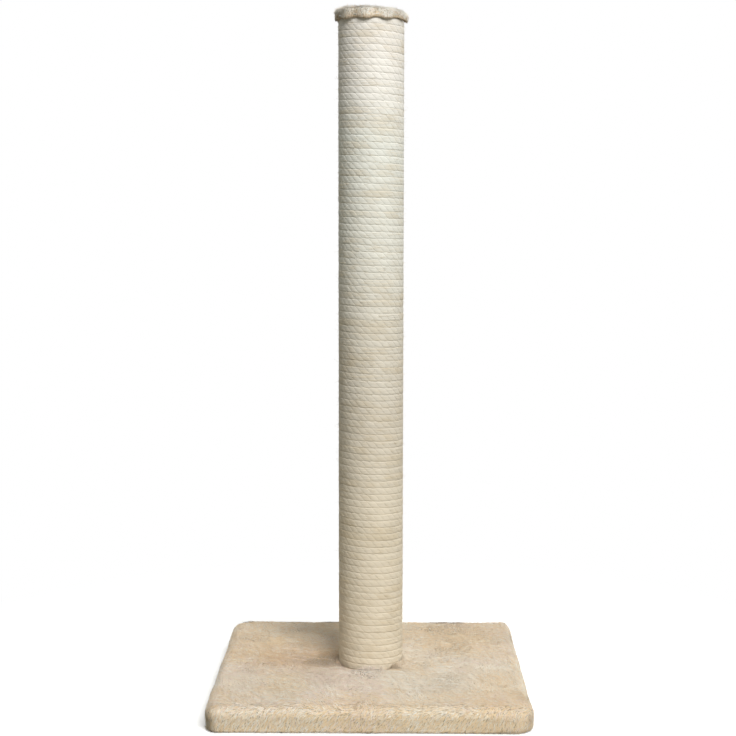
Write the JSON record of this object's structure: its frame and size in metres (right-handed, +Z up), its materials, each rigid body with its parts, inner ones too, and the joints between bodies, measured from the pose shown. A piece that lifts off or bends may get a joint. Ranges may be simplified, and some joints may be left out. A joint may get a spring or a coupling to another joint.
{
  "type": "cat scratching post",
  "caption": "Free-standing scratching post: a sisal-wound upright with a small round plush cap, on a flat square plush-covered base.",
  "frame": {"origin": "middle of the base's underside, on the floor", "axes": "+Z up along the post, -Y towards the front, +X to the right seen from the front"},
  "size_m": [0.4064, 0.4064, 0.9],
  "materials": {
    "plush": "matte",
    "sisal": "matte",
    "cardboard": "matte",
    "chipboard": "matte",
    "turned_wood": "matte",
    "zinc": "satin"
  },
  "bodies": {
    "root": {"base_board": "chipboard", "base_cover": "plush", "foot_washer": "zinc", "foot_bolt": "zinc", "tee_nut": "zinc", "foot_plug": "turned_wood", "top_plug": "turned_wood", "post_tube": "cardboard", "sisal_winding": "sisal", "cap_board": "turned_wood", "cap_screw": "zinc", "cap_cover": "plush", "foot_plug_staple_1": "zinc", "foot_plug_staple_2": "zinc", "foot_plug_staple_3": "zinc", "top_plug_staple_1": "zinc", "top_plug_staple_2": "zinc", "top_plug_staple_3": "zinc"}
  },
  "joints": []
}
